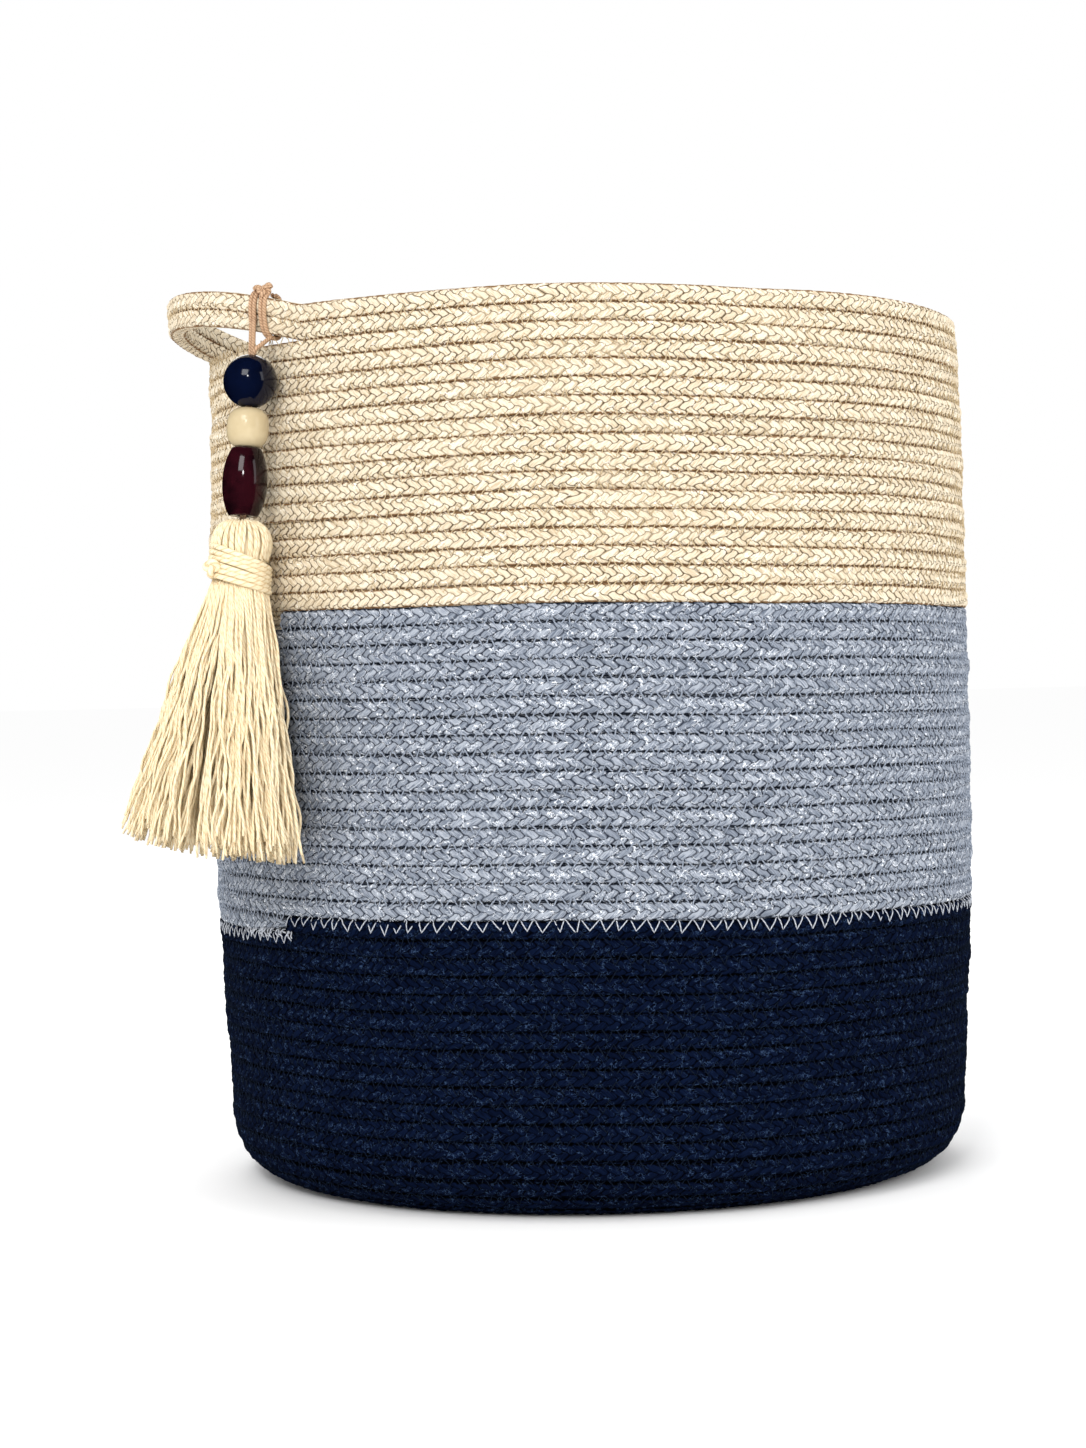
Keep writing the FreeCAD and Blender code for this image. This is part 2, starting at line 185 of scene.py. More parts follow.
def tube_faces(rings, around):
    """Quads of a tube's side, then quads that close both ends; around has to be even."""
    ring, column = np.meshgrid(np.arange(rings - 1), np.arange(around), indexing="ij")
    after = (column + 1) % around
    side = np.stack([ring * around + column, ring * around + after,
                     (ring + 1) * around + after, (ring + 1) * around + column], -1).reshape(-1, 4)
    fan = np.arange(around // 2 - 1)
    cap = np.stack([fan, fan + 1, around - 2 - fan, around - 1 - fan], -1)
    end = (rings - 1) * around + cap[:, ::-1]
    return np.concatenate([side, cap[:, ::-1], end])


def tube_frames(path, normal=None):
    """Two directions across each path of points; the last axis but one runs along it."""
    tangent = unit(np.gradient(path, axis=-2))
    if normal is None:
        normal = np.broadcast_to(np.array([0.31, 0.95, 0.07]), path.shape)
    normal = unit(normal - tangent * np.sum(normal * tangent, -1, keepdims=True))
    return normal, np.cross(tangent, normal)


def tubes(name, paths, radii, around, body, slot_name, replaced=(), normal=None, tips=0.0, material=None):
    """Many thin tubes in one mesh: paths is (strand, point, 3) and radii fits (strand, point).

    UV map Yarn holds millimetres along the strand and turns round it, plus a whole number of
    thousands that tells the strands apart.
    """
    strands, points = paths.shape[:2]
    radii = np.broadcast_to(np.asarray(radii, float), (strands, points)).copy()
    if tips:
        radii[:, 0] *= tips
        radii[:, -1] *= tips
    across, second = tube_frames(paths, normal)
    angle = TURN * np.arange(around) / around
    ring = (across[:, :, None] * np.cos(angle)[:, None] + second[:, :, None] * np.sin(angle)[:, None])
    vertices = paths[:, :, None] + ring * radii[:, :, None, None]
    one = tube_faces(points, around)
    faces = (one[None] + (np.arange(strands) * points * around)[:, None, None]).reshape(-1, 4)
    piece = new_object(name, vertices.reshape(-1, 3), faces, body, slot_name, replaced, material)
    step = np.linalg.norm(np.diff(paths, axis=1), axis=2)
    run = np.concatenate([np.zeros((strands, 1)), np.cumsum(step, 1)], 1) / MM
    run = run + 1000.0 * (np.arange(strands) % 97)[:, None]
    turn = np.broadcast_to(np.arange(around) / around, (strands, points, around))
    grid = np.stack([np.broadcast_to(run[:, :, None], turn.shape), turn], -1).reshape(-1, 2)
    values = grid[faces]
    wrapped = (values[..., 1].max(1) - values[..., 1].min(1)) > 0.6
    values[wrapped, :, 1] = np.where(values[wrapped, :, 1] < 0.4, values[wrapped, :, 1] + 1,
                                     values[wrapped, :, 1])
    add_uv(piece, "Yarn", values)
    return piece


def lathe(outline, around=64):
    """Vertices and quads of a closed ring-shaped solid turned about Z from a closed outline."""
    outline = np.asarray(outline)
    angle = TURN * np.arange(around) / around
    vertices = np.stack([np.multiply.outer(np.cos(angle), outline[:, 0]),
                         np.multiply.outer(np.sin(angle), outline[:, 0]),
                         np.broadcast_to(outline[:, 1], (around, len(outline)))], -1)
    turn, place = np.meshgrid(np.arange(around), np.arange(len(outline)), indexing="ij")
    next_turn, next_place = (turn + 1) % around, (place + 1) % len(outline)
    count = len(outline)
    faces = np.stack([turn * count + place, next_turn * count + place,
                      next_turn * count + next_place, turn * count + next_place], -1)
    return vertices.reshape(-1, 3), faces.reshape(-1, 4)


# ---------------------------------------------------------------- materials

class Shader:
    """A material and short calls that add nodes to it."""

    def __init__(self, name):
        self.material = bpy.data.materials.new(name)
        self.material.use_nodes = True
        self.nodes = self.material.node_tree.nodes
        self.links = self.material.node_tree.links
        self.surface = self.nodes["Principled BSDF"]

    def feed(self, socket, value):
        if isinstance(value, bpy.types.NodeSocket):
            self.links.new(value, socket)
        else:
            socket.default_value = value

    def math(self, operation, *values):
        node = self.nodes.new("ShaderNodeMath")
        node.operation = operation
        for socket, value in zip(node.inputs, values):
            self.feed(socket, value)
        return node.outputs[0]

    def uv(self, name):
        """The two numbers of a UV map."""
        node = self.nodes.new("ShaderNodeUVMap")
        node.uv_map = name
        parts = self.nodes.new("ShaderNodeSeparateXYZ")
        self.links.new(node.outputs[0], parts.inputs[0])
        return parts.outputs[0], parts.outputs[1]

    def vector(self, *values):
        node = self.nodes.new("ShaderNodeCombineXYZ")
        for socket, value in zip(node.inputs, values):
            self.feed(socket, value)
        return node.outputs[0]

    def noise(self, vector, scale=1.0, detail=2.0, roughness=0.5):
        node = self.nodes.new("ShaderNodeTexNoise")
        if vector is not None:
            self.links.new(vector, node.inputs["Vector"])
        node.inputs["Scale"].default_value = scale
        node.inputs["Detail"].default_value = detail
        node.inputs["Roughness"].default_value = roughness
        return node.outputs["Fac"]

    def place(self):
        """Position on the object's own mesh, in metres."""
        return self.nodes.new("ShaderNodeTexCoord").outputs["Object"]

    def random(self, vector):
        node = self.nodes.new("ShaderNodeTexWhiteNoise")
        self.links.new(vector, node.inputs["Vector"])
        return node.outputs["Value"]

    def step(self, value, low, high, out_low=0.0, out_high=1.0):
        """A smooth step from out_low to out_high as value goes from low to high."""
        node = self.nodes.new("ShaderNodeMapRange")
        node.interpolation_type = "SMOOTHSTEP"
        for socket, number in zip(node.inputs, (value, low, high, out_low, out_high)):
            self.feed(socket, number)
        return node.outputs[0]

    def mix(self, factor, first, second, blend="MIX"):
        node = self.nodes.new("ShaderNodeMix")
        node.data_type = "RGBA"
        node.blend_type = blend
        self.feed(node.inputs[0], factor)
        self.feed(node.inputs[6], first if isinstance(first, bpy.types.NodeSocket) else (*first, 1))
        self.feed(node.inputs[7], second if isinstance(second, bpy.types.NodeSocket) else (*second, 1))
        return node.outputs[2]

    def finish(self, colour, roughness, bump=None, distance=0.0002, strength=1.0, **sockets):
        self.feed(self.surface.inputs["Base Color"],
                  colour if isinstance(colour, bpy.types.NodeSocket) else (*colour, 1))
        self.feed(self.surface.inputs["Roughness"], roughness)
        for name, value in sockets.items():
            self.surface.inputs[name.replace("_", " ")].default_value = value
        if bump is not None:
            node = self.nodes.new("ShaderNodeBump")
            node.inputs["Strength"].default_value = strength
            node.inputs["Distance"].default_value = distance
            self.links.new(bump, node.inputs["Height"])
            self.links.new(node.outputs[0], self.surface.inputs["Normal"])
        return self.material


def rope_material(name, leaf, shade, crevice_shade, seam, glint, glint_share, contrast, outline):
    """Braided cotton rope.

    UV map Rope counts leaves along and columns round the rope; Row has the millimetres along it and
    the turn round its section. leaf and shade are the light and dark yarn, and shade is also the lighter
    painted shade in some crevices. crevice_shade is painted shade between the leaves and seam is painted
    shade in the grooves between rows; glint is a painted highlight on stray pale fibres over glint_share
    of the surface, and outline is how wide the painted dark lines run.
    """
    shader = Shader(name)
    along, round_rope = shader.uv("Rope")
    length, section = shader.uv("Row")
    heights, fibres, tones = [], [], []
    for parity in (0, 1):
        lean = SLANT if parity == 0 else -SLANT
        column = shader.math("SUBTRACT", round_rope, 0.5 + parity)
        y = shader.math("WRAP", column, 1.0, -1.0)
        shifted = shader.math("MULTIPLY_ADD", y, -lean, along)
        shifted = shader.math("SUBTRACT", shifted, 0.5 * parity)
        x = shader.math("WRAP", shifted, 0.5, -0.5)
        squared = shader.math("MULTIPLY", shader.math("MULTIPLY", x, x), -4.0)
        height = shader.math("ADD", squared, 1.0)
        height = shader.math("MULTIPLY_ADD", shader.math("MULTIPLY", y, y), -1.42, height)
        cell = shader.vector(shader.math("SUBTRACT", shifted, x), shader.math("SUBTRACT", column, y),
                             float(parity) + 0.5)
        tone = shader.random(cell)
        tones.append(tone)
        heights.append(shader.math("MULTIPLY_ADD", tone, 0.30, height))
        strand = shader.vector(shader.math("MULTIPLY", x, 9.0), shader.math("MULTIPLY", y, 1.0),
                               shader.math("MULTIPLY", shader.math("SUBTRACT", shifted, x), 1.7))
        fibres.append(shader.noise(strand, 1.0, 2.0, 0.6))
    pick = shader.math("GREATER_THAN", heights[1], heights[0])
    height = shader.math("MAXIMUM", *heights)
    keep = shader.math("SUBTRACT", 1.0, pick)
    tone = shader.math("MULTIPLY_ADD", tones[1], pick, shader.math("MULTIPLY", tones[0], keep))
    fibre = shader.math("MULTIPLY_ADD", fibres[1], pick, shader.math("MULTIPLY", fibres[0], keep))
    ragged = shader.noise(shader.vector(shader.math("MULTIPLY", along, 2.3), round_rope, 0.0), 1.6, 2.0, 0.6)
    ragged = shader.math("MULTIPLY", shader.math("SUBTRACT", ragged, 0.5), 0.45)
    # painted shade: edge and valley find the crevices between the leaves, and clear is 0 where these are
    # painted dark
    gap = shader.math("ABSOLUTE", shader.math("SUBTRACT", heights[0], heights[1]))
    edge = shader.step(shader.math("ADD", gap, ragged), 0.02, outline)
    valley = shader.step(shader.math("ADD", height, ragged), 0.06, 0.06 + 1.2 * outline)
    clear = shader.math("MULTIPLY", shader.math("MULTIPLY_ADD", edge, 0.9, 0.1), valley)
    # painted shade: this noise sets how dark the crevices are painted, from the darkest colour part way to
    # the dark yarn
    crevice_shade_noise = shader.noise(shader.place(), 38.0, 3.0, 0.6)
    body = shader.mix(shader.step(fibre, 0.36, 0.54), shade, leaf)
    body = shader.mix(shader.math("MULTIPLY", shader.math("SUBTRACT", 1.0, tone), contrast), body, shade)
    deep = shader.mix(shader.step(crevice_shade_noise, 0.44, 0.70, 0.0, 0.6), crevice_shade, shade)
    colour = shader.mix(clear, deep, body)
    # painted shade: a band along the top and bottom of the rope's section, with darker dots, is painted in
    # the seam colour where the rows meet
    slope = shader.math("ABSOLUTE", shader.math("WRAP", shader.math("MULTIPLY", section, 2.0), 0.5, -0.5))
    dots = shader.noise(shader.vector(shader.math("DIVIDE", length, 1.7), section, 0.5), 1.0, 1.0, 0.5)
    near_seam = shader.math("MULTIPLY_ADD", shader.step(dots, 0.44, 0.58), 0.05, slope)
    seam_shade_mask = shader.math("MULTIPLY", shader.step(near_seam, 0.245, 0.295),
                          shader.step(slope, 0.29, 0.34, 1.0, 0.0))
    colour = shader.mix(seam_shade_mask, colour, seam)
    # painted highlight: thin pale strokes of stray fibres, in patches over glint_share of the surface
    stray = shader.vector(shader.math("MULTIPLY", along, 3.1), shader.math("MULTIPLY", round_rope, 2.1), 0.0)
    wild = shader.noise(stray, 1.0, 1.0, 0.5)
    thin = shader.math("ABSOLUTE", shader.math("SUBTRACT", wild, 0.5))
    stroke = shader.step(thin, 0.010, 0.026, 1.0, 0.0)
    patch = shader.step(shader.noise(stray, 0.45, 1.0, 0.5), 0.62 - glint_share, 0.72 - glint_share)
    colour = shader.mix(shader.math("MULTIPLY", stroke, patch), colour, glint)
    bump = shader.math("MULTIPLY_ADD", fibre, 0.45, clear)
    return shader.finish(colour, 1.0, bump, 0.00035, 0.8, Specular_IOR_Level=0.02)


def yarn_material(name, light, dark, deep, twist=1.6, strands=2.0, roughness=0.9, shine=0.06,
                  depth=0.7):
    """Twisted yarn, painted with shade in the deep colour along the grooves between its plies. UV map Yarn
    holds millimetres along and turns round each strand.
    """
    shader = Shader(name)
    along, round_yarn = shader.uv("Yarn")
    lay = shader.math("MULTIPLY_ADD", along, 1.0 / twist, shader.math("MULTIPLY", round_yarn, strands))
    ply = shader.math("ABSOLUTE", shader.math("WRAP", lay, 0.5, -0.5))
    # painted shade: the grooves between the plies take the deep colour
    groove = shader.step(ply, 0.30, 0.5, 1.0, 0.0)
    strand = shader.math("FLOOR", shader.math("DIVIDE", along, 1000.0))
    tone = shader.random(shader.vector(strand, 3.7, 1.3))
    fine = shader.noise(shader.vector(shader.math("MULTIPLY", lay, 4.0),
                                      shader.math("MULTIPLY", along, 0.6), strand), 1.0, 2.0, 0.6)
    body = shader.mix(shader.step(fine, 0.3, 0.7), dark, light)
    body = shader.mix(shader.math("MULTIPLY", tone, 0.5), body, dark)
    colour = shader.mix(groove, deep, body)
    bump = shader.math("MULTIPLY_ADD", fine, 0.3, groove)
    return shader.finish(colour, roughness, bump, 0.0002, depth, Specular_IOR_Level=shine)


def gloss_material(name, deep, clear, roughness, scale, marble):
    """A lacquered bead: a dark and a lighter colour run together, with a gloss."""
    shader = Shader(name)
    grain = shader.noise(shader.place(), scale, 3.0, 0.6)
    colour = shader.mix(shader.step(grain, 0.5 - marble, 0.5 + marble), deep, clear)
    dust = shader.noise(shader.place(), 900.0, 2.0, 0.5)
    rough = shader.step(dust, 0.3, 0.8, roughness, roughness + 0.08)
    return shader.finish(colour, rough, shader.noise(shader.place(), 220.0, 1.0, 0.5), 0.00005, 0.25,
                         Specular_IOR_Level=0.28)


materials = {
    # per rope: light yarn, dark yarn, painted crevice shade, painted shade between rows, painted glint
    # highlight, share that glints, tone contrast, outline width
    "navy_rope": rope_material(
        "braided_navy", (0.0028, 0.0068, 0.024), (0.0009, 0.0022, 0.009), (0.0002, 0.0005, 0.002),
        (0.0002, 0.0004, 0.001), (0.024, 0.044, 0.092), 0.13, 0.6, 0.44),
    "grey_rope": rope_material(
        "braided_grey", (0.37, 0.40, 0.455), (0.125, 0.148, 0.19), (0.011, 0.015, 0.027),
        (0.005, 0.008, 0.016), (0.78, 0.81, 0.86), 0.14, 0.6, 0.46),
    "cream_rope": rope_material(
        "braided_cream", (0.79, 0.705, 0.55), (0.54, 0.43, 0.29), (0.085, 0.055, 0.027),
        (0.20, 0.11, 0.05), (0.95, 0.90, 0.82), 0.06, 0.5, 0.40),
    "navy_thread": yarn_material("thread_navy", (0.012, 0.020, 0.042), (0.004, 0.008, 0.018),
                                 (0.001, 0.002, 0.006)),
    "pale_thread": yarn_material("thread_pale", (0.74, 0.76, 0.80), (0.46, 0.49, 0.55),
                                 (0.18, 0.20, 0.25)),
    "cream_thread": yarn_material("thread_cream", (0.80, 0.68, 0.48), (0.56, 0.42, 0.24),
                                  (0.24, 0.15, 0.07)),
    "tan_cord": yarn_material("waxed_tan", (0.66, 0.44, 0.28), (0.46, 0.28, 0.16), (0.22, 0.11, 0.06),
                              1.1, 3.0, 0.5, 0.3),
    "tassel_yarn": yarn_material("cotton_yarn", (0.90, 0.82, 0.62), (0.80, 0.66, 0.43),
                                 (0.66, 0.49, 0.28), 3.4, 2.0, depth=0.3),
    "navy_gloss": gloss_material("lacquer_navy", (0.0008, 0.0014, 0.006), (0.0015, 0.0035, 0.016), 0.06,
                                 60.0, 0.2),
    "cream_gloss": gloss_material("lacquer_cream", (0.50, 0.40, 0.24), (0.60, 0.50, 0.32), 0.10,
                                  90.0, 0.25),
    "oxblood_gloss": gloss_material("lacquer_oxblood", (0.004, 0.001, 0.002), (0.020, 0.0025, 0.005),
                                    0.05, 55.0, 0.12),
}
grey_stitch = yarn_material("thread_grey", (0.50, 0.54, 0.62), (0.26, 0.30, 0.37), (0.07, 0.09, 0.13))


# ---------------------------------------------------------------- the rope's path

def row_at(turn):
    """Rows above the lowest one, as a running number."""
    return turn - CLIMB


def past_straight(turn):
    """How far down its profile the rope is past the wall's straight part."""
    return (JOIN_ROW - row_at(turn)) * PITCH - (JOIN_HEIGHT - FIRST_ROW - FOOT_BEND)


def foot_angle(turn):
    """Turn of the profile from the upright wall, at 0, to the flat base."""
    return np.clip(past_straight(turn) / FOOT_BEND, 0, math.pi / 2)


def rope_height(turn):
    bent = FIRST_ROW + FOOT_BEND * (1 - np.sin(foot_angle(turn)))
    return np.where(past_straight(turn) > 0, bent, JOIN_HEIGHT + (row_at(turn) - JOIN_ROW) * PITCH)


def rope_radius(turn):
    """Radius of the rope's middle: the wall's profile, its bend, and the flat coil inside it."""
    from_top = ROWS - 1 - row_at(turn)
    rim = np.clip(1 - from_top / RIM_ROWS, 0, 1) ** 2
    foot = np.clip((from_top - FOOT_START) / FOOT_ROWS, 0, 1)
    flat = np.maximum(past_straight(turn) - FOOT_BEND * math.pi / 2, 0)
    wall = WAIST - DEPTH / 2 - rim * RIM_DRAW - foot * FOOT_DRAW
    return wall - FOOT_BEND * (1 - np.cos(foot_angle(turn))) - flat


def handle_point(share, middle):
    """Points of the bowed handle at shares 0 to 1 of its length, for the wall points they replace."""
    reach = math.hypot(HANDLE_REACH, HANDLE_RISE)
    tilt = math.atan2(HANDLE_RISE, HANDLE_REACH)
    wall = WAIST - DEPTH / 2 - RIM_DRAW
    end_across = wall * math.sin(HANDLE_HALF)
    blend_away = HANDLE_BLEND * math.cos(HANDLE_HALF)
    blend_across = end_across + HANDLE_BLEND * math.sin(HANDLE_HALF)
    bow = (((blend_away - reach) ** 2 + blend_across ** 2 - HANDLE_BLEND ** 2)
           / (2 * (HANDLE_BLEND + reach - blend_away)))
    bow_centre = reach - bow
    turn = math.atan2(blend_across, blend_away - bow_centre)
    blend_run = HANDLE_BLEND * (turn - HANDLE_HALF)
    run = share * (2 * blend_run + 2 * bow * turn)
    from_middle = run - blend_run - bow * turn
    side = np.sign(from_middle)
    past = np.maximum(np.abs(from_middle) - bow * turn, 0)
    on_bow = past == 0
    angle = from_middle / bow
    blend_angle = turn - past / HANDLE_BLEND
    away = np.where(on_bow, bow_centre + bow * np.cos(angle),
                    blend_away - HANDLE_BLEND * np.cos(blend_angle))
    across = np.where(on_bow, bow * np.sin(angle),
                      side * (blend_across - HANDLE_BLEND * np.sin(blend_angle)))
    point = np.stack([-wall * math.cos(HANDLE_HALF) - away * math.cos(tilt), across,
                      middle[:, 2] + away * math.sin(tilt) - HANDLE_SAG * np.sin(math.pi * share) ** 2], 1)
    spare = np.hypot(middle[:, 0], middle[:, 1]) - wall
    point[:, 0] -= spare * math.cos(HANDLE_HALF)
    return point


HANDLE_TURNS = (50, 51)
HANDLE_AT = (START - math.pi) / TURN


def rope_middle(turn):
    """The rope's middle line."""
    angle = START - TURN * turn
    in_wall = np.clip(row_at(turn) / 2, 0, 1)
    radius = rope_radius(turn) + in_wall * 0.35 * MM * smooth_noise(turn * 21, 11)
    shared = 0.45 * MM * (np.sin(3 * angle + 1.1) + 0.6 * np.sin(7 * angle + 2.3))
    height = rope_height(turn) + in_wall * (shared + 0.12 * MM * smooth_noise(turn * 34, 12))
    point = np.stack([radius * np.cos(angle), radius * np.sin(angle), height], 1)
    for number in HANDLE_TURNS:
        share = (turn - number - HANDLE_AT) / (2 * HANDLE_HALF / TURN) + 0.5
        on = (share > 0) & (share < 1)
        if on.any():
            point[on] = handle_point(share[on], point[on])
    return point


dense_turns = np.arange(-BASE_TURNS + CLIMB, LAST_TURN, 1 / 1500)
dense_points = rope_middle(dense_turns)
dense_run = np.concatenate([[0], np.cumsum(np.linalg.norm(np.diff(dense_points, axis=0), axis=1))])


def run_at(turn):
    return np.interp(turn, dense_turns, dense_run)


def rope_frame(turn):
    """Middle, tangent, outward and up along the rope."""
    middle = rope_middle(turn)
    tangent = unit(rope_middle(turn + 2e-4) - rope_middle(turn - 2e-4))
    level = unit(np.cross(UP, tangent))
    upright = np.cross(tangent, level)
    tilt = foot_angle(turn)[..., None]
    outward = level * np.cos(tilt) - upright * np.sin(tilt)
    return middle, tangent, outward, level * np.sin(tilt) + upright * np.cos(tilt)


def braid(leaves, columns):
    """Height from 0 to 1 of the braid's overlapping leaves."""
    best = np.zeros(np.broadcast(leaves, columns).shape)
    sizes = np.random.default_rng(5).uniform(0.72, 1.14, 4096)
    for parity, lean in ((0, SLANT), (1, -SLANT)):
        column = columns - 0.5 - parity
        y = column - 2 * np.round(column / 2)
        shifted = leaves - lean * y - 0.5 * parity
        cell = np.round(shifted)
        x = shifted - cell
        number = (cell.astype(int) * 3 + np.round(column - y).astype(int) % COLUMNS * 577 + parity * 91)
        best = np.maximum(best, (1 - 4 * x ** 2 - 1.42 * y ** 2) * sizes[number % 4096])
    return best


def section(around):
    """The rope's squarish section: shares of its girth, and its outward and upward reach there.

    The outer face has most of the points.
    """
    angle = TURN * np.arange(4096) / 4096
    wide = np.sign(np.cos(angle)) * np.abs(np.cos(angle)) ** (2 / SQUARENESS)
    tall = np.sign(np.sin(angle)) * np.abs(np.sin(angle)) ** (2 / SQUARENESS)
    girth = np.concatenate([[0], np.cumsum(np.hypot(np.diff(wide), np.diff(tall)))])
    girth /= girth[-1] + girth[1]
    front = around * 3 // 5
    share = np.concatenate([np.linspace(-0.19, 0.19, front),
                            np.linspace(0.19, 0.81, around - front + 2)[1:-1]])
    return share, np.interp(share % 1, girth, wide), np.interp(share % 1, girth, tall)


def rope_piece(name, colour, first, last, step, around, replaced, end_taper=(False, False)):
    """One length of the rope, from turn first to turn last."""
    start, stop = run_at(first), run_at(last)
    rings = max(4, int(round((stop - start) / step)) + 1)
    run = np.linspace(start, stop, rings)
    turn = np.interp(run, dense_run, dense_turns)
    middle, _, outward, up = rope_frame(turn)
    base = np.floor(start / LEAF / 2) * 2
    leaves = run / LEAF + 0.16 * smooth_noise(run / (9 * MM), 21)
    wander = 0.42 * smooth_noise(run / (70 * MM), 22) + 0.05 * smooth_noise(run / (5 * MM), 23)
    share, across_share, up_share = section(around)
    columns = share[None] * COLUMNS + wander[:, None]
    lump = braid(leaves[:, None] + 0.05 * smooth_noise(run / (3 * MM), 24)[:, None], columns)
    flat = (foot_angle(turn) / (math.pi / 2))[:, None]
    grow = RELIEF * (lump - 0.52)
    half_depth = HALF_DEPTH - 0.3 * MM * flat
    taper = np.ones(rings)
    if end_taper[0]:
        taper *= np.clip((run - start) / (24 * MM), 0, 1) ** 0.6 * 0.8 + 0.2
    if end_taper[1]:
        taper *= np.clip((stop - run) / (14 * MM), 0, 1) ** 0.5 * 0.8 + 0.2
    wide = (half_depth + grow) * across_share * taper[:, None]
    tall = (HALF_HEIGHT + 0.08 * MM + grow * 0.2) * up_share * taper[:, None]
    vertices = middle[:, None] + outward[:, None] * wide[..., None] + up[:, None] * tall[..., None]
    vertices[..., 2] = np.maximum(vertices[..., 2], 0.02 * MM)
    faces = tube_faces(rings, around)
    piece = new_object(name, vertices.reshape(-1, 3), faces, "root", colour, replaced)

    ring, corner = np.divmod(faces, around)
    across = corner.astype(float)
    side = np.arange(len(faces)) < (rings - 1) * around
    wrapped = side & (np.abs(across[:, 0] - across[:, 1]) > 1.5)
    across[wrapped] = np.where(across[wrapped] < 0.5, around, across[wrapped])
    girth = np.append(share, share[0] + 1)[across.astype(int)]
    add_uv(piece, "Rope", np.stack([leaves[ring] - base, girth * COLUMNS + wander[ring]], -1))
    add_uv(piece, "Row", np.stack([run[ring] / MM, girth], -1))
    strips = max(1, int(round(math.sqrt((stop - start) / (TURN * HALF_DEPTH)))))
    per_strip = math.ceil((rings - 1) / strips)
    lowest = np.minimum(ring.min(1), rings - 2)
    strip = lowest // per_strip
    u = 0.002 + 0.996 * (ring - (strip * per_strip)[:, None]) / per_strip
    v = (strip[:, None] + 0.03 + 0.94 * across / around) / strips
    baked = np.stack([u, v], -1)
    baked[~side] = baked[0, 0]
    baked[~side] += np.array([[0, 0], [1e-4, 0], [1e-4, 1e-4], [0, 1e-4]])
    add_uv(piece, "OFBake", baked)
    return piece


def band(colour, label, first, last, node_names, step, around):
    """A colour's rope in lengths of at most three turns."""
    cuts = [first]
    while last - cuts[-1] > 3.01:
        cuts.append(cuts[-1] + 3)
    cuts.append(last)
    for number, (low, high) in enumerate(zip(cuts, cuts[1:])):
        rope_piece(f"{label}_{number + 1:02d}", colour, low, high, step, around, node_names,
                   (number == 0 and colour != "navy_rope", high == LAST_TURN))


rope_step = 0.95 * MM
rope_around = 22
base_cuts = (-BASE_TURNS + CLIMB, -10.0 + CLIMB, -4.5 + CLIMB, CLIMB)
for number, (low, high) in enumerate(zip(base_cuts, base_cuts[1:])):
    rope_piece(f"navy_base_{number + 1}", "navy_rope", low, high, 1.25 * MM, 16, ["navy_base_coil"])
band("navy_rope", "navy_wall", CLIMB, BAND_ROWS, ["navy_rope_wall"], rope_step, rope_around)
band("grey_rope", "grey_wall", BAND_ROWS, 2 * BAND_ROWS, ["grey_rope_wall"], rope_step, rope_around)
band("cream_rope", "cream_wall", 2 * BAND_ROWS, LAST_TURN,
     ["cream_rope_wall", "handle_lower_rope", "handle_upper_rope"], rope_step, rope_around)


# ---------------------------------------------------------------- the sewing

STITCH = 5.4 * MM                   # of the zigzag, along the seam
UNEVEN = 0.12                       # spread of its corners, as a share

def stitch_line(name, first, last, low, high, radius, slot_name, replaced, seed, per_leg=3, sides=4,
                material=None):
    """A zigzag of thread over the seam above turns first to last.

    low and high are its heights from the seam. It lies on the ropes' outer faces and bridges the
    groove between them.
    """
    rng = np.random.default_rng(seed)
    legs = int((run_at(last) - run_at(first)) / (STITCH / 2))
    run = np.linspace(run_at(first), run_at(last), legs * per_leg + 1)
    turn = np.interp(run, dense_run, dense_turns)
    phase = np.arange(len(run)) / per_leg
    corners = np.arange(legs + 2)
    ends = np.where(corners % 2 == 0, high, low) * (1 + UNEVEN * rng.standard_normal(len(corners)))
    shift = np.interp(phase, corners, UNEVEN * STITCH * rng.standard_normal(len(corners)))
    lift = np.interp(phase, corners, ends)
    turn = turn + shift / (TURN * WAIST)
    lower, _, outward, up = rope_frame(turn)
    upper = rope_middle(turn + 1)
    same = np.linalg.norm(upper - lower, axis=1) < 12 * MM
    upper = np.where(same[:, None], upper, lower + up * PITCH)
    seam = (lower + upper) / 2
    rise = (upper - lower) * (lift / PITCH)[:, None]
    drop = np.clip(np.abs(PITCH / 2 - np.abs(lift)) / HALF_HEIGHT, 0, 1)
    bulge = HALF_DEPTH * (1 - drop ** SQUARENESS) ** (1 / SQUARENESS)
    stand = np.maximum(bulge, 2.15 * MM) + radius * 0.6
    path = seam + rise + outward * stand[:, None]
    return tubes(name, path[None], radius, sides, "root", slot_name, replaced, normal=outward[None],
                 material=material)


def seam_group(label, turns, slot_name, replaced, size, material=None):
    """Zigzags over the seams above each of the turns; none reaches past the rope's end."""
    for number, turn in enumerate(turns):
        last = min(turn + 1.0, LAST_TURN - 1.03)
        stitch_line(f"{label}_{number + 1:02d}", turn, last, -2.3 * MM, 2.3 * MM, size, slot_name,
                    replaced, 100 + turn + len(label), material=material)


seam_group("navy_stitch", range(1, BAND_ROWS - 1), "navy_thread", ["navy_thread"], 0.22 * MM)
seam_group("grey_stitch", range(BAND_ROWS, 2 * BAND_ROWS - 1), "pale_thread",
           ["grey_thread"], 0.28 * MM, grey_stitch)
seam_group("cream_stitch", range(2 * BAND_ROWS, ROWS), "cream_thread",
           ["cream_thread", "handle_thread"], 0.22 * MM)
stitch_line("join_zigzag", BAND_ROWS - 1, BAND_ROWS, -3.9 * MM, 0.9 * MM, 0.23 * MM,
            "pale_thread", ["join_thread"], 9, per_leg=5, sides=6)


# ---------------------------------------------------------------- the frayed start of the grey rope

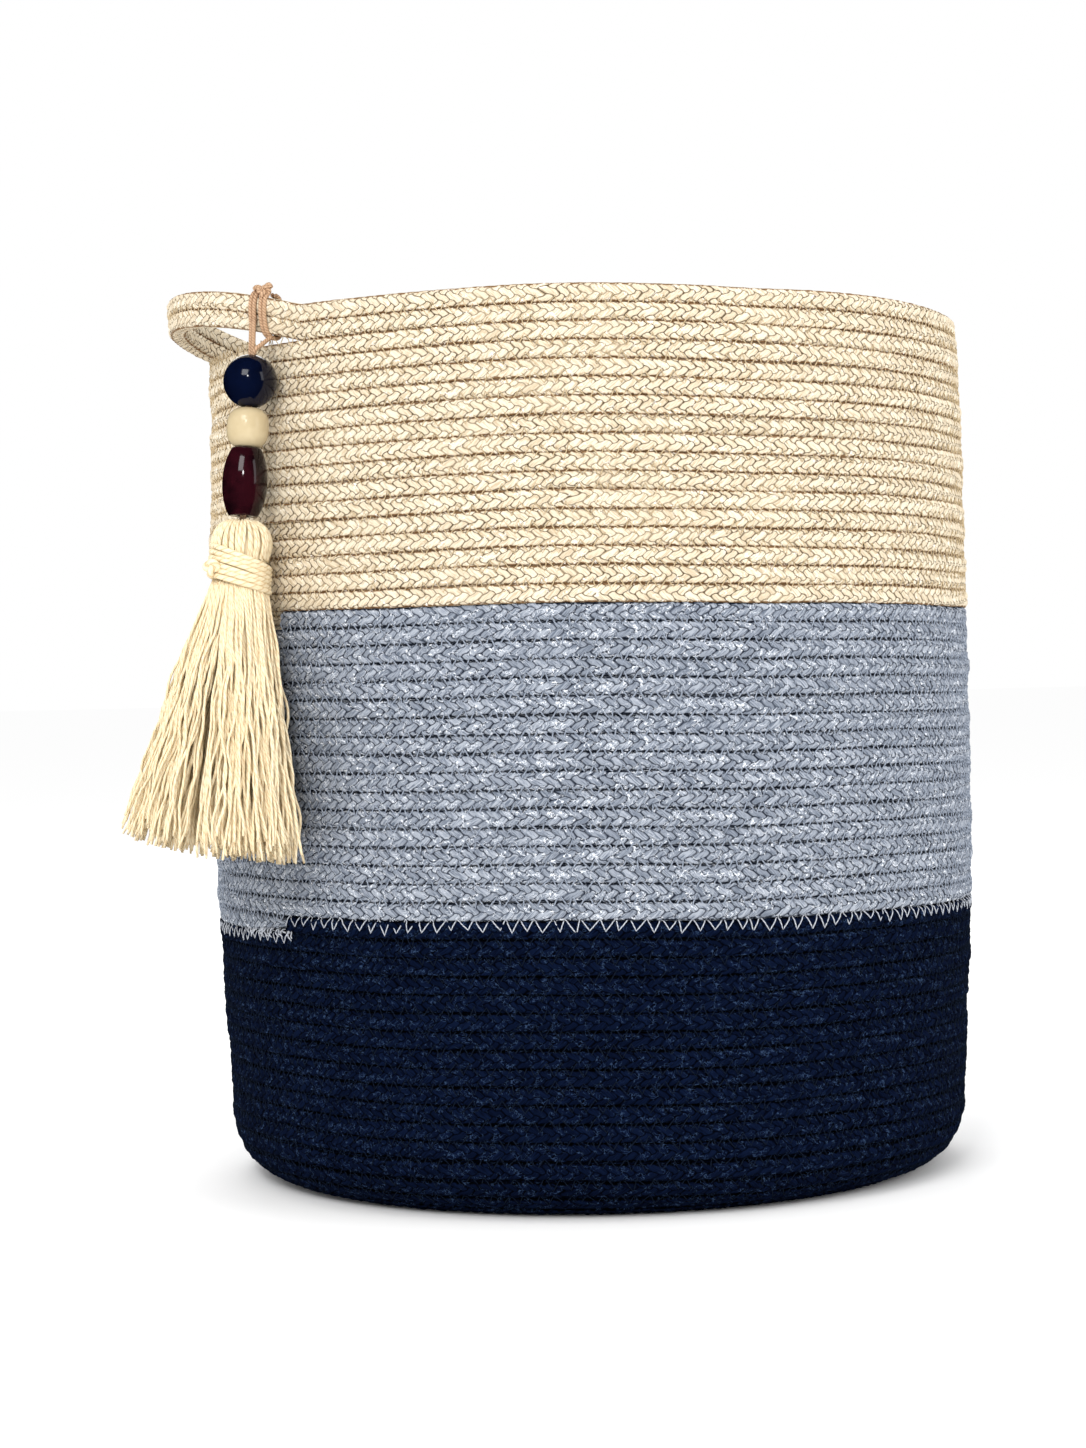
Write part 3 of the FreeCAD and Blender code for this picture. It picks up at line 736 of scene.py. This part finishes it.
def frayed_end():
    """Curled ends of yarn that hang from the start of the grey rope over the navy row under it."""
    rng = np.random.default_rng(31)
    count, points = 26, 9
    turn = BAND_ROWS + rng.uniform(-0.004, 0.030, count)
    middle, tangent, outward, _ = rope_frame(turn)
    share = np.linspace(0, 1, points)
    length = rng.uniform(1.2, 4.2, count) * MM
    curl = rng.uniform(-1.6, 1.6, count) * MM
    sway = rng.uniform(-1.5, 2.5, count) * MM
    drop = -HALF_HEIGHT * 0.55 - np.multiply.outer(length, share)
    off = 0.72 * HALF_DEPTH + np.sin(share * 2.2) * 1.3 * MM
    along = (np.multiply.outer(curl, np.sin(share * math.pi * 1.3)) - np.multiply.outer(sway, share))
    path = (middle[:, None] + UP * drop[..., None] + outward[:, None] * off[..., None]
            + tangent[:, None] * along[..., None])
    return tubes("splice_strands", path, 0.30 * MM, 6, "root", "pale_thread", ["splice_fray"], tips=0.5)


frayed_end()


# ---------------------------------------------------------------- the beads

def rounded(profile, bore, lip):
    """Closed outline of a bead from its outer profile, which runs from the top hole to the bottom."""
    top, low = profile[0], profile[-1]
    inside = [(bore, low[1] + lip), (bore, top[1] - lip)]
    return list(profile) + [(bore + lip * 0.3, low[1] + lip * 0.3)] + inside + [
        (bore + lip * 0.3, top[1] - lip * 0.3)]


def bead(name, node, shape, body, slot_name, bore=1.8 * MM):
    """A turned bead at a CAD bead's middle. shape gives its radius at a share -1 to 1 of its height."""
    low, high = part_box(node)
    middle = np.array((low + high) / 2)
    spread = np.linspace(math.pi / 2, -math.pi / 2, 41)
    profile = [shape(math.sin(angle)) for angle in spread]
    vertices, faces = lathe(rounded(profile, bore, 0.5 * MM))
    placed = middle + local(*vertices.T)
    return new_object(name, placed, faces, body, slot_name, [node])


def ball(radius, half):
    """Radius and height of a cut-off ball whose edge rounds into the hole."""
    return lambda share: (math.sqrt(max(radius ** 2 - (share * half) ** 2, 0)), share * half)


def soft_barrel(radius, half):
    """A ball flattened towards a barrel."""
    return lambda share: (radius * (1 - abs(share * 0.93) ** 2.7) ** (1 / 2.7), share * half)


def barrel(radius, end, half):
    long = half / math.sqrt(1 - (end / radius) ** 2)
    return lambda share: (radius * math.sqrt(1 - (share * half / long) ** 2), share * half)


bead("navy_round_bead", "navy_bead", ball(9.9 * MM, 9.45 * MM), "navy_bead_body", "navy_gloss",
     2.9 * MM)
bead("cream_round_bead", "cream_bead", soft_barrel(7.75 * MM, 7.2 * MM), "cream_bead_body",
     "cream_gloss")
bead("oxblood_oval_bead", "oval_bead", barrel(8.3 * MM, 5.3 * MM, 12.5 * MM), "oval_bead_body",
     "oxblood_gloss")


# ---------------------------------------------------------------- cord, loop and knot

CORD = 0.82 * MM        # radius of one strand
PAIR = 2 * CORD + 0.04 * MM         # between the middles of two strands side by side


def smooth_path(points, count):
    """An evenly spaced curve through given points."""
    points = np.asarray(points, float)
    padded = np.concatenate([2 * points[:1] - points[1:2], points, 2 * points[-1:] - points[-2:-1]])
    share = np.linspace(0, len(points) - 1 - 1e-9, count * 6)
    cell = share.astype(int)
    t = (share - cell)[:, None]
    a, b, c, d = (padded[cell + k] for k in range(4))
    curve = 0.5 * (2 * b + (c - a) * t + (2 * a - 5 * b + 4 * c - d) * t ** 2
                   + (3 * b - a - 3 * c + d) * t ** 3)
    return evenly(curve, count)


def evenly(curve, count):
    """Points at even steps along a line of points."""
    run = np.concatenate([[0], np.cumsum(np.linalg.norm(np.diff(curve, axis=0), axis=1))])
    even = np.linspace(0, run[-1], count)
    return np.stack([np.interp(even, run, curve[:, k]) for k in range(3)], 1)


def route(points, count):
    """Points of the NURBS curve that has the route's points as its control points."""
    curve = bpy.data.curves.new("route", "CURVE")
    curve.dimensions = "3D"
    curve.resolution_u = 24
    spline = curve.splines.new("NURBS")
    spline.points.add(len(points) - 1)
    for control, point in zip(spline.points, points):
        control.co = (*point, 1)
    spline.order_u = 3
    spline.use_endpoint_u = True
    holder = bpy.data.objects.new("route", curve)
    mesh = bpy.data.meshes.new_from_object(holder)
    line = np.array([vertex.co[:] for vertex in mesh.vertices])
    bpy.data.objects.remove(holder)
    bpy.data.curves.remove(curve)
    bpy.data.meshes.remove(mesh)
    return evenly(line, count)


def side_by_side(path, spread):
    """Paths of two strands along a middle path; spread points from one to the other."""
    side = np.broadcast_to(spread, path.shape)
    return np.stack([path - side * PAIR / 2, path + side * PAIR / 2])


def cord_tubes(name, paths, body, replaced):
    return tubes(name, paths, CORD, 12, body, "tan_cord", replaced)


def handle_frame(share):
    """Middle between the two handle ropes, outward and along, at a share 0 to 1 of the handle."""
    turns = [number + HANDLE_AT + (share - 0.5) * 2 * HANDLE_HALF / TURN for number in HANDLE_TURNS]
    ends = [rope_frame(np.array([turn])) for turn in turns]
    return (ends[0][0][0] + ends[1][0][0]) / 2, ends[0][2][0], ends[0][1][0]


loop_middle = np.array([(a + b) / 2 for a, b in zip(*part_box("hanger_loop"))])
nearest = min(np.linspace(0, 1, 401),
              key=lambda share: np.linalg.norm((handle_frame(share)[0] - loop_middle)[:2]))
hang_middle, hang_out, hang_along = handle_frame(nearest)
hang_along = -hang_along            # towards the photo's right
rope_span = PITCH / 2
LEFT_PASS = -3.2 * MM               # of the pass that runs straight down, along the handle
RIGHT_PASS = 1.2 * MM


def around_handle(turn, extra=0.0):
    """A point on the loop's way round the two handle ropes; turn 0 is outside, 90 on top."""
    angle = math.radians(turn)
    centre = rope_span * max(-1.0, min(1.0, math.sin(angle) * 1.6))
    reach = HALF_DEPTH + CORD + 0.45 * MM + extra
    return hang_middle + UP * (centre + reach * math.sin(angle)) + hang_out * reach * math.cos(angle)


def hanger():
    """The doubled cord over the handle: one pass straight down, one that curls back under it."""
    left = [around_handle(turn) + hang_along * LEFT_PASS for turn in (150, 120, 90, 60, 30, 5, -18)]
    right = [around_handle(turn) + hang_along * (RIGHT_PASS + lean * MM)
             for turn, lean in ((66, 0), (45, 0), (20, 0.1), (-5, 0.3), (-30, 0.6), (-55, 1.0), (-80, 1.3),
                                (-115, 1.5), (-150, 1.6), (-190, 1.6), (-225, 1.5), (-255, 1.3))]
    for name, middles, count in (("hanger_straight_pass", left, 34), ("hanger_curled_pass", right, 48)):
        cord_tubes(name, side_by_side(smooth_path(middles, count), hang_along), "root", ["hanger_loop"])


hanger()


def overhand(name, middle, size, direction, spread, body, slot_name, radius, replaced, tails=()):
    """A small overhand knot: a trefoil of cord, with its ends if any."""
    angle = np.linspace(0, TURN, 64, endpoint=False)
    direction = unit(np.asarray(direction, float))
    spread = unit(spread - direction * np.dot(spread, direction))
    third = np.cross(direction, spread)
    flat = np.stack([np.sin(angle) + 2 * np.sin(2 * angle), np.cos(angle) - 2 * np.cos(2 * angle),
                     -np.sin(3 * angle)], 1) * size / 3
    path = (middle + flat[:, :1] * spread + flat[:, 1:2] * third + flat[:, 2:] * direction * 1.3)
    path = np.concatenate([path, path[:1]])
    tubes(name, path[None], radius, 10, body, slot_name, replaced)
    if tails:
        ways = np.stack([smooth_path(tail, 14) for tail in tails])
        tubes(name + "_ends", ways, radius, 10, body, slot_name, tips=0.8)


knot_middle = around_handle(64, 1.2 * MM) + hang_along * 0.6 * MM
overhand("hanger_knot_cord", knot_middle, 2.2 * MM, hang_out + UP * 0.4, hang_along, "root", "tan_cord",
         CORD * 1.1, ["hanger_knot", "hanger_tails"],
         [[knot_middle, knot_middle + UP * 1.9 * MM + hang_along * 1.2 * MM,
           knot_middle + UP * 2.9 * MM + hang_along * 2.6 * MM,
           knot_middle + UP * 1.9 * MM + hang_along * 3.7 * MM],
          [knot_middle, knot_middle - hang_along * 1.6 * MM + UP * 1.2 * MM,
           knot_middle - hang_along * 3.2 * MM + UP * 1.1 * MM,
           knot_middle - hang_along * 4.3 * MM + UP * 0.1 * MM]])

# the doubled cord from the handle to the knot in the tassel's head
drop_start = around_handle(-14) + hang_along * LEFT_PASS
string_run = stopper - sway_point
cord_points = [drop_start, drop_start + (sway_point - drop_start) * 0.5, sway_point + string_run * 0.01,
               sway_point + string_run * 0.35, sway_point + string_run * 0.7, stopper]


def doubled_cord():
    """The strung cord: two strands that enter the beads together."""
    path = route(cord_points, 64)
    piece = cord_tubes("strung_cord", side_by_side(path, string_side), None, ["bead_cord", "hanger_drop"])
    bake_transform(piece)


def back_strand():
    """The end of the curled pass, from under the handle into the bead beside the doubled cord."""
    start = around_handle(-66) + hang_along * (RIGHT_PASS + 1.9 * MM)
    low = sway_point - string_up * 3.0 * MM
    path = smooth_path([start, start * 0.4 + sway_point * 0.6 + string_side * 1.5 * MM,
                        sway_point + string_side * 2.4 * MM, low + string_side * 1.2 * MM], 24)
    piece = cord_tubes("hanger_back_strand", path[None], None, ["hanger_drop"])
    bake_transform(piece)


doubled_cord()
back_strand()
overhand("stopper_knot_cord", stopper, 1.5 * MM, string_up, string_out, "bead_string", "tan_cord", CORD,
         ["stopper_knot"])


# ---------------------------------------------------------------- the tassel

HEAD_TOP = 5.0 * MM             # above the stopper knot
HEAD_HEIGHT = 13.0 * MM
NECK_HEIGHT = 13.0 * MM
HEAD_RADIUS = 11.4 * MM
HEAD_BELLY = HEAD_RADIUS - 0.8 * MM     # of the folded yarns' middles
HEAD_HOLE = 3.5 * MM            # leaves the cord its 15 degrees each way
NECK_RADIUS = 10.4 * MM
SKIRT_HEIGHT = 101.0 * MM
SKIRT_WIDE = 44.5 * MM          # half widths of the cut ends
SKIRT_DEEP = 27.5 * MM
SKIRT_LEAN = 6.5 * MM
VIEW_TURN = math.radians(51.5)  # of the photo's view round the tassel, from straight off the wall


def head_yarns():
    """Yarns folded over the top of the head, laid side by side."""
    rng = np.random.default_rng(41)
    count, points = 84, 18
    angle = TURN * (np.arange(count) + rng.uniform(-0.25, 0.25, count)) / count
    share = np.linspace(0, 1, points)
    bend = share * math.pi / 2 * 1.28
    radius = np.where(bend < math.pi / 2, HEAD_HOLE + (HEAD_BELLY - HEAD_HOLE) * np.sin(bend),
                      HEAD_BELLY - (bend - math.pi / 2) * 2.3 * MM)
    up = HEAD_TOP - HEAD_HEIGHT * (1 - np.cos(np.minimum(bend, math.pi / 2))) * 0.72
    up = up - np.maximum(bend - math.pi / 2, 0) * 10.5 * MM - 0.9 * MM
    lump = rng.uniform(-0.55, 0.45, count) * MM
    twist = rng.uniform(-0.16, 0.16, count)
    turn = angle[:, None] + twist[:, None] * share
    reach = radius[None] + lump[:, None] * np.sin(share * math.pi)
    path = stopper + local(reach * np.cos(turn), reach * np.sin(turn),
                           np.broadcast_to(up, turn.shape) + lump[:, None])
    size = 0.62 * MM * (0.45 + 0.55 * np.minimum(1, share * 3.0))
    return tubes("tassel_head_yarns", path, size[None], 7, "tassel", "tassel_yarn", ["tassel_head"])


def head_core():
    """What lies under the folded yarns: a solid dome with a hole for the cord."""
    bend = np.linspace(0.2, math.pi / 2, 12)
    profile = [(2.9 * MM, HEAD_TOP - 4.5 * MM), (3.3 * MM, HEAD_TOP - 1.6 * MM)]
    profile += [(9.9 * MM * math.sin(a), HEAD_TOP - 1.4 * MM - 9.0 * MM * (1 - math.cos(a)))
                for a in bend[2:]]
    profile += [(9.3 * MM, HEAD_TOP - HEAD_HEIGHT), (9.3 * MM, HEAD_TOP - HEAD_HEIGHT - NECK_HEIGHT),
                (0.4 * MM, HEAD_TOP - HEAD_HEIGHT - NECK_HEIGHT), (0.4 * MM, -3.9 * MM),
                (3.9 * MM, -1.5 * MM), (3.9 * MM, 1.0 * MM)]
    vertices, faces = lathe(profile, 48)
    placed = stopper + local(*vertices.T)
    piece = new_object("tassel_head_core", placed, faces, "tassel", "tassel_yarn", ["tassel_head"])
    add_uv(piece, "Yarn", np.zeros((len(faces) * 4, 2)))


def neck_wraps():
    """Yarn wound round the neck, dropping to the right."""
    rng = np.random.default_rng(43)
    count, points = 6, 72
    angle = np.linspace(0, TURN, points)
    tilt = 4.0 * MM
    level = HEAD_TOP - HEAD_HEIGHT - 1.1 * MM - np.arange(count) * 1.95 * MM
    wave = rng.uniform(-0.25, 0.25, (count, 1)) * MM * np.sin(2 * angle + rng.uniform(0, TURN, (count, 1)))
    up = level[:, None] - tilt * np.sin(angle - VIEW_TURN) * np.linspace(1.0, 0.7, count)[:, None] + wave
    reach = NECK_RADIUS + 0.9 * MM + rng.uniform(-0.2, 0.25, (count, 1)) * MM
    reach = reach - 0.45 * MM * np.cos(angle * 2 + 0.7)
    path = stopper + local(reach * np.cos(angle), reach * np.sin(angle), up)
    return tubes("tassel_neck_wrap", path, 1.02 * MM, 9, "tassel", "tassel_yarn", ["neck_wrap"])


def skirt_yarns(name, count, ring_low, ring_high, seed, replaced):
    """Hanging yarns between two shares of the skirt's radius, from the wrap to the cut ends."""
    rng = np.random.default_rng(seed)
    points = 36
    share = np.linspace(0, 1, points)
    turn = TURN * ((np.arange(count) * 0.61803399) % 1.0)
    ring = np.sqrt(rng.uniform(ring_low ** 2, ring_high ** 2, count))
    top_out = NECK_RADIUS * 0.93 * ring * np.cos(turn)
    top_side = NECK_RADIUS * 0.93 * ring * np.sin(turn)
    clump = 0.13 * np.sin(turn * 9 + 1.3) + 0.08 * np.sin(turn * 17 + 0.4)
    from_part = (turn - VIEW_TURN + 0.35 + math.pi) % TURN - math.pi
    clump += 0.16 * np.tanh(from_part * 8) * np.exp(-(from_part / 0.8) ** 2)    # a parting in the front
    foot_turn = turn + clump + rng.normal(0, 0.15, count)
    foot_ring = ring * rng.uniform(0.90, 1.02, count)
    foot_out = SKIRT_LEAN + SKIRT_DEEP * foot_ring * np.cos(foot_turn)
    foot_side = SKIRT_WIDE * foot_ring * np.sin(foot_turn)
    drop = SKIRT_HEIGHT * (1 + rng.uniform(-0.075, 0.02, count)) - 3.5 * MM
    to_left = foot_out * math.sin(VIEW_TURN) - foot_side * math.cos(VIEW_TURN)
    drop -= 9.0 * MM * np.clip(to_left / SKIRT_WIDE, 0, 1) ** 1.3
    flare = share ** 0.92
    phase = rng.uniform(0, TURN, (4, count, 1))
    waves = np.concatenate([rng.uniform(2.0, 5.0, (2, count, 1)), rng.uniform(7.0, 13.0, (2, count, 1))])
    size = np.concatenate([rng.uniform(0.6, 2.1, (2, count, 1)), rng.uniform(0.22, 0.65, (2, count, 1))])
    size = size * MM * np.minimum(1, share * 2.4) * 0.8
    bend = size * np.sin(waves * TURN * share / 2 + phase)
    out = top_out[:, None] + (foot_out - top_out)[:, None] * flare + bend[0] + bend[2]
    side = top_side[:, None] + (foot_side - top_side)[:, None] * flare + bend[1] + bend[3]
    out = np.minimum(out, SKIRT_LEAN + SKIRT_DEEP * 1.05)
    up = HEAD_TOP - HEAD_HEIGHT - NECK_HEIGHT + 3.0 * MM - np.multiply.outer(drop + 3.0 * MM, share)
    path = stopper + local(out, side, up)
    radius = rng.uniform(0.42, 0.60, count)[:, None] * MM * np.ones(points)
    return tubes(name, path, radius, 6, "tassel", "tassel_yarn", replaced, tips=0.8)


head_core()
head_yarns()
neck_wraps()
knot_turn = math.radians(8)
knot_reach = NECK_RADIUS + 2.6 * MM
overhand("tassel_wrap_knot", stopper + local(knot_reach * math.cos(knot_turn),
                                             knot_reach * math.sin(knot_turn) - 1.0 * MM,
                                             HEAD_TOP - HEAD_HEIGHT - 6.0 * MM),
         2.8 * MM, string_out, string_side, "tassel", "tassel_yarn", 1.15 * MM, ["wrap_knot"])
skirt_yarns("tassel_outer_yarns", 430, 0.80, 1.0, 51, ["tassel_skirt"])
skirt_yarns("tassel_inner_yarns", 300, 0.05, 0.80, 52, ["tassel_skirt"])


# ---------------------------------------------------------------- floor and light

def add_floor():
    mesh = bpy.data.meshes.new("floor")
    reach = 30.0
    mesh.from_pydata([(-reach, -reach, 0), (reach, -reach, 0), (reach, reach, 0), (-reach, reach, 0)], [],
                     [(0, 1, 2, 3)])
    floor = bpy.data.objects.new("floor", mesh)
    shader = Shader("pale_floor")
    mesh.materials.append(shader.finish((0.98, 0.98, 0.98), 1.0, Specular_IOR_Level=0.0))
    bpy.context.scene.collection.objects.link(floor)
    floor.visible_glossy = False


def add_area(name, place, target, size, power):
    light = bpy.data.lights.new(name, "AREA")
    light.shape = "SQUARE"
    light.size = size
    light.energy = power
    lamp = bpy.data.objects.new(name, light)
    lamp.location = place
    lamp.rotation_euler = (Vector(target) - Vector(place)).to_track_quat("-Z", "Y").to_euler()
    bpy.context.scene.collection.objects.link(lamp)


add_floor()
add_area("key_light", (-1.1, -1.5, 1.5), (0, 0, 0.17), 0.9, 20)
add_area("spark_light", (-0.7, -1.7, 0.9), (-0.15, 0, 0.25), 0.16, 5.0)
add_area("fill_light", (1.5, -1.2, 0.9), (0, 0, 0.17), 1.2, 12)
add_area("back_light", (0.3, 1.8, 1.4), (0, 0, 0.2), 1.2, 14)
world = bpy.data.worlds.new("studio")
world.use_nodes = True
world.node_tree.nodes["Background"].inputs["Color"].default_value = (1, 1, 1, 1)
world.node_tree.nodes["Background"].inputs["Strength"].default_value = 1.0
bpy.context.scene.world = world
world.cycles_visibility.glossy = False      # the beads mirror the lamps and the basket, not this
bpy.context.scene.view_settings.view_transform = "Standard"
